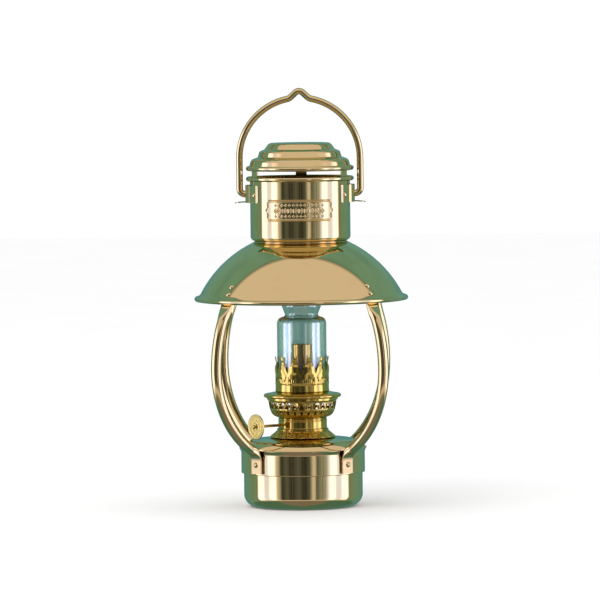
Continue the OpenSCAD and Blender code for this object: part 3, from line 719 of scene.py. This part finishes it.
def ear(node, name, side):
    """Strap bent out from the drum, with a hole for the bail and a stop tab at its foot.
    side is 1 on the +X side and -1 on the other."""
    low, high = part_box(node)
    seat, out, thick = DRUM_R + 0.06 * MM, DRUM_R + 4.2 * MM, 1.14 * MM
    span, ramp_low, ramp_high = 35.0, 21.5, 10.0
    per_degree = math.pi / 180 * 46 * MM
    corner = 1.6 * MM
    x1, z0, z1 = span * per_degree, low[2], high[2]
    outline = []
    right, left, over, under = x1 - corner, corner - x1, z1 - corner, z0 + corner
    for quarter, centre in enumerate(((right, over), (left, over), (left, under), (right, under))):
        outline += arc(centre, corner, 90 * quarter, 90 * quarter + 90, 4)
    hole = arc((0, PIVOT_Z), 3.03 * MM, 0, 360, 28)[:-1]
    flat, tris = filled(outline, [hole], 0.85 * MM)
    points, faces = [], []
    for back in (0, 1):
        for x, z in flat:
            a = x / per_degree
            lift = ease((ramp_low - abs(a)) / (ramp_low - ramp_high))
            edge = 0.3 + 0.7 * ease((span - abs(a)) / 3)
            r = seat + (out - thick - seat) * lift + thick * edge * (1 - back)
            rounding = 0.16 * MM * (ease((math.dist((0, PIVOT_Z), (x, z)) / MM - 3) / 1.2) - 1)
            r += rounding * (1 - 2 * back)
            a = math.radians(a)
            points.append((side * r * math.cos(a), side * r * math.sin(a), z))
    total = len(flat)
    for f in tris:
        faces += [list(f), [i + total for i in reversed(f)]]
    edges = {(f[i], f[(i + 1) % 3]) for f in tris for i in range(3)}
    faces += [[b, a, a + total, b + total] for a, b in edges if (b, a) not in edges]
    # The stop tab, which droops a little towards its rounded tip
    first, stations, sides = len(points), 9, 20
    start, tip = out - thick, 58 * MM
    for i in range(stations):
        t = i / (stations - 1)
        r = start + (tip - start) * t
        half = 5 * MM * math.sqrt(max(0.12, 1 - max(0.0, (t - 0.55) / 0.45) ** 2))
        for k in range(sides):
            a = 2 * math.pi * k / sides
            c, d = math.cos(a), math.sin(a)
            y = math.copysign(abs(c) ** 0.3, c) * half
            z = math.copysign(abs(d) ** 0.4, d) * 0.5 * MM + low[2] + 0.66 * MM - 0.9 * MM * t * t
            points.append((side * r, side * y, z))
    faces += [tuple(first + i for i in f) for f in skin(stations, sides, False)]
    last = first + (stations - 1) * sides
    faces += [tuple(reversed(range(first, first + sides))), tuple(range(last, last + sides))]
    piece(name, node, "lantern_frame", SHELL, points, faces)


# ---------------------------------------------------------------- front plate

# Height, pitch, half size and half length of each row of ornament, in mm
PLATE_ROWS = ((4.7, 3.4, 1.25, 23), (-0.3, 4.9, 2.1, 24), (-5.0, 3.4, 1.25, 23))


def front_plate():
    """Pressed plate: a double border with bracketed ends round three rows of plain ornament."""
    low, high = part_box("front_plate")
    middle, half_z = (low[2] + high[2]) / 2 / MM, (high[2] - low[2]) / 2 / MM
    edge = -low[1]
    drum = edge - 1.4 * MM
    half_s = math.asin(min(1, high[0] / edge)) * edge / MM

    def margin(s, z):
        """Distance inside the plate's outline, in mm."""
        bracket = 1.9 * bell(z, 1.7)
        ends = half_s - 2.0 + bracket - abs(s)
        corner = math.dist((abs(s), abs(z)), (half_s - 1.2, half_z)) - 2.4
        return min(ends, half_z - abs(z), corner)

    def ornament(s, z):
        total = 0.0
        for row, pitch, size, span in PLATE_ROWS:
            if abs(s) < span and abs(z - row) < size * 1.5:
                near = (s / pitch) % 1 - 0.5
                lozenge = abs(abs(near * pitch) / size * 1.25 + abs(z - row) / size - 0.85)
                total = max(total, bell(lozenge, 0.24))
                if size > 2:
                    total = max(total, bell(math.dist((near * pitch, z), (0, row)), 0.6))
                    bar = bell(abs(near) * pitch - pitch / 2, 0.3) * ease((1.9 - abs(z - row)) / 0.3)
                    total = max(total, bar)
        return total

    def height(s, z):
        inset = margin(s, z)
        frame_line = max(bell(inset - 0.75, 0.32), 0.7 * bell(inset - 1.9, 0.25))
        return ease(inset / 0.25) * (0.62 + 0.62 * max(frame_line, 0.8 * ornament(s, z)))

    step = 0.2
    columns, rows = int(2 * half_s / step) + 1, int(2 * half_z / step) + 1
    points, faces = [], []
    for back in (0, 1):
        for i in range(columns):
            s = -half_s + 2 * half_s * i / (columns - 1)
            for j in range(rows):
                z = -half_z + 2 * half_z * j / (rows - 1)
                r = drum + (0.06 if back else 0.1 + height(s, z)) * MM
                a = s * MM / edge
                points.append((r * math.sin(a), -r * math.cos(a), (middle + z) * MM))
    total = columns * rows
    for i in range(columns - 1):
        for j in range(rows - 1):
            a = i * rows + j
            quad = (a, a + rows, a + rows + 1, a + 1)
            faces += [quad, tuple(q + total for q in reversed(quad))]
    rim = [i * rows for i in range(columns)] + [(columns - 1) * rows + j for j in range(1, rows)]
    rim += [i * rows + rows - 1 for i in range(columns - 2, -1, -1)] + list(range(rows - 2, 0, -1))
    faces += [(b, a, a + total, b + total) for a, b in zip(rim, rim[1:] + rim[:1])]
    piece("pressed_plate", "front_plate", "lantern_frame", PLATE, points, faces, FINE_SHARP)


# ---------------------------------------------------------------- wick

def wick():
    """Woven strip closed into a ring inside its tube, with the strip hanging into the oil."""
    mesh_low, mesh_top = foot("wick"), top("wick")
    outer, inner = 8.5 * MM, 6.5 * MM
    join = 82 * MM
    columns = 144

    def weave(angle, z):
        return 0.12 * MM * math.sin(angle * 48) * math.sin(z / MM * 2 * math.pi / 1.1)

    wall = along([(outer, join), (outer, mesh_top - 0.4 * MM)], 0.55 * MM)
    crest = [(outer - 0.3 * MM, mesh_top), (inner + 0.3 * MM, mesh_top)]
    bore = along([(inner, mesh_top - 0.4 * MM), (inner, join)], 1.2 * MM)
    points = []
    outline = wall + crest + bore
    for i in range(columns):
        a = 2 * math.pi * i / columns
        for r, z in outline:
            fray = 0.25 * MM * math.sin(a * 31) * math.sin(a * 17 + 1) if z >= mesh_top - 0.1 * MM else 0.0
            out = r - 0.14 * MM + weave(a, z) * (r > 7.5 * MM)
            points.append((out * math.cos(a), out * math.sin(a), z - 0.3 * MM + fray))
    faces = turned_out(skin(columns, len(outline), True))
    # The hanging strip
    spin = Matrix.Rotation(SPINDLE_TURN, 3, "Z")
    strip_top = join + 2 * MM
    sides, rings = 44, int((strip_top - mesh_low) / (0.55 * MM))
    first = len(points)
    for j in range(rings + 1):
        z = mesh_low + (strip_top - mesh_low) * j / rings
        for k in range(sides):
            a = 2 * math.pi * k / sides
            c, d = math.cos(a), math.sin(a)
            x = math.copysign(abs(c) ** 0.25, c) * 6.4 * MM
            y = math.copysign(abs(d) ** 0.25, d) * 0.95 * MM
            y += 0.1 * MM * math.sin(x / MM * 5.2) * math.sin(z / MM * 5.7) * (1 if d > 0 else -1)
            points.append(spin @ Vector((x, y + STRIP_Y, z)))
    faces += [tuple(first + i for i in f) for f in skin(rings + 1, sides, False)]
    last = first + rings * sides
    faces += [tuple(reversed(range(first, first + sides))), tuple(range(last, last + sides))]
    piece("cotton_wick", "wick", "wick", COTTON, points, faces, FINE_SHARP)


SPINDLE_TURN = math.radians(219.7)
DRUM_R = reach("head_drum") - 3.5 * MM
PIVOT_Z = (foot("ear_left") + top("ear_left")) / 2 - 0.25 * MM
STRIP_Y = (-7.7 + 3.3 + 1.1) * MM
LEG_TURNS = {"leg_front_left": 225, "leg_front_right": 315, "leg_rear_right": 45, "leg_rear_left": 135}
for leg_name, leg_turn in LEG_TURNS.items():
    leg(leg_name, leg_turn)
shade()
font_dome()
font_body()
support_band()
air_basket()
chimney_crown()
burner_skirt()
wick_knob()
front_plate()
ear("ear_left", "strap_left", -1)
ear("ear_right", "strap_right", 1)
wick()


# ---------------------------------------------------------------- studio

def studio_world():
    """White to the camera and to matt surfaces. Polished surfaces mirror a set that turns with the camera:
    pale walls on the camera's side, tall white panels on each side, a dark camera stand and a green wall
    behind."""
    world = bpy.data.worlds.new("studio")
    bpy.context.scene.world = world
    t = Tree(world)
    ray = t.node("TexCoord").outputs["Camera"]
    unit = t.node("VectorMath", operation="NORMALIZE")
    t.feed(unit.inputs[0], ray)
    x, y, depth = t.split(unit.outputs[0])
    toward = t.math("MULTIPLY", depth, -1.0)
    around = t.math("MULTIPLY", t.math("ARCTAN2", x, toward), 180 / math.pi)

    # What stands round the lantern at its own height, by angle from the camera
    wall = (0.66, 0.7, 0.66)
    panel = (2.2, 2.2, 2.6)
    grey = (0.92, 1.15, 1.7)
    brown = (0.36, 0.42, 0.38)
    dusk = (0.11, 0.14, 0.12)
    dark = (0.03, 0.032, 0.026)
    stand = [
        (-128, brown), (-114, (0.5, 0.62, 0.6)), (-104, grey), (-97, panel), (-86, panel),
        (-81, grey), (-72, grey), (-66, panel),
        (-58, panel), (-52, wall), (-46, brown), (-43, dark), (-32, dusk), (-22, dark),
        (-9, dusk), (3, dark), (13, dusk), (17, wall), (22, wall),
        (27, dusk), (38, brown), (44, brown), (50, grey), (56, panel), (62, panel), (68, grey), (78, grey),
        (84, panel), (94, panel), (100, wall), (120, brown),
    ]
    level = t.ramp(t.math("MULTIPLY_ADD", around, 1 / 360, 0.5), [(0.5 + a / 360, c) for a, c in stand])
    streaks = t.noise(around, 0.22, 3.0, 0.75, dims="1D")
    inside_set = t.math("MULTIPLY", t.step(around, -44, -40), t.step(around, 48, 44))
    level = t.blend(t.math("MULTIPLY", t.step(streaks, 0.6, 0.72), inside_set), level, (0.3, 0.33, 0.27))
    level = t.blend(t.math("MULTIPLY", t.step(streaks, 0.45, 0.33), inside_set), level, dark)

    # The backdrop behind the lantern: green, darker towards the middle of its back and on the table
    aside = t.math("MULTIPLY", t.math("ABSOLUTE", around), 1 / 180)
    greens = [(0.62, (0.2, 0.36, 0.27)), (0.74, (0.15, 0.36, 0.3)), (0.97, (0.08, 0.25, 0.27))]
    backdrop = t.ramp(aside, greens)
    backdrop = t.blend(t.step(y, 0.05, 0.4), backdrop, (0.17, 0.4, 0.35))
    patches = t.noise(unit.outputs[0], 2.2, 2.0, 0.5)
    backdrop = t.blend(t.step(patches, 0.45, 0.7, 0.0, 0.35), backdrop, (0.09, 0.24, 0.2))
    table = t.blend(t.step(aside, 0.36, 0.24), (0.08, 0.21, 0.17), (0.21, 0.21, 0.18))
    low = t.math("MULTIPLY", t.step(y, -0.42, -0.3), t.step(y, 0.42, 0.3))
    front = t.blend(low, (0.74, 0.73, 0.66), level)
    studio = t.blend(t.step(toward, -0.21, -0.17), backdrop, front)
    seam = t.math("MULTIPLY", t.step(toward, -0.25, -0.2), t.step(toward, -0.13, -0.17))
    studio = t.blend(t.math("MULTIPLY", seam, 0.5), studio, (0.1, 0.14, 0.09))
    studio = t.blend(t.step(y, -0.42, -0.52), studio, table)

    light = t.node("LightPath")
    plain = t.math("MAXIMUM", light.outputs["Is Camera Ray"], light.outputs["Is Diffuse Ray"])
    again = t.math("GREATER_THAN", light.outputs["Glossy Depth"], 1.5)
    colour = t.blend(again, studio, t.blend(1.0, studio, (0.72, 0.8, 0.62), "MULTIPLY"))
    unmirrored = t.math("LESS_THAN", light.outputs["Glossy Depth"], 0.5)
    through = t.math("MULTIPLY", light.outputs["Is Transmission Ray"], unmirrored)
    colour = t.blend(through, colour, (0.2, 0.4, 0.36))
    colour = t.blend(plain, colour, (1.03, 1.03, 1.03))
    back = t.node("Background")
    t.feed(back.inputs["Color"], colour)
    out = t.node("OutputWorld")
    t.tree.links.new(back.outputs[0], out.inputs["Surface"])


def floor():
    mesh = bpy.data.meshes.new("floor")
    half = 6.0
    corners = [(-half, -half, 0), (half, -half, 0), (half, half, 0), (-half, half, 0)]
    mesh.from_pydata(corners, [], [(0, 1, 2, 3)])
    made = bpy.data.objects.new("floor", mesh)
    bpy.context.scene.collection.objects.link(made)
    made.location.z = -0.4 * MM
    material = bpy.data.materials.new("pale_floor")
    t = Tree(material)
    place = t.node("TexCoord").outputs["Object"]
    t.principled(
        Base_Color=t.blend(t.noise(place, 6.0), (0.93, 0.93, 0.92), (0.96, 0.96, 0.95)),
        Roughness=0.9,
        Specular_IOR_Level=0.0,
    )
    mesh.materials.append(material)
    made.visible_glossy = False
    made.visible_transmission = False


def camera():
    distance, height, aim_z, turn, roll, span = 4.5, 0.421, 0.1829, 1.5, -0.66, 0.533
    data = bpy.data.cameras.new("camera")
    made = bpy.data.objects.new("camera", data)
    bpy.context.scene.collection.objects.link(made)
    a = math.radians(turn)
    made.location = (distance * math.sin(a), -distance * math.cos(a), height)
    aim = Vector((-0.00115, 0, aim_z)) - made.location
    look = aim.to_track_quat("-Z", "Y").to_matrix().to_4x4()
    made.matrix_world = Matrix.Translation(made.location) @ look @ Matrix.Rotation(math.radians(roll), 4, "Z")
    data.sensor_width = 36
    data.lens = data.sensor_width * aim.length / span
    data.clip_end = 100
    bpy.context.scene.camera = made


def key_light():
    data = bpy.data.lights.new("key", "AREA")
    data.shape, data.size, data.energy = "DISK", 1.6, 14
    made = bpy.data.objects.new("key", data)
    bpy.context.scene.collection.objects.link(made)
    made.location = (-1.2, -1.6, 2.2)
    made.rotation_euler = (Vector((0, 0, 0.15)) - Vector(made.location)).to_track_quat("-Z", "Y").to_euler()
    made.visible_glossy = False
    made.visible_transmission = False


studio_world()
floor()
camera()
key_light()
bpy.context.scene.view_settings.view_transform = "Standard"
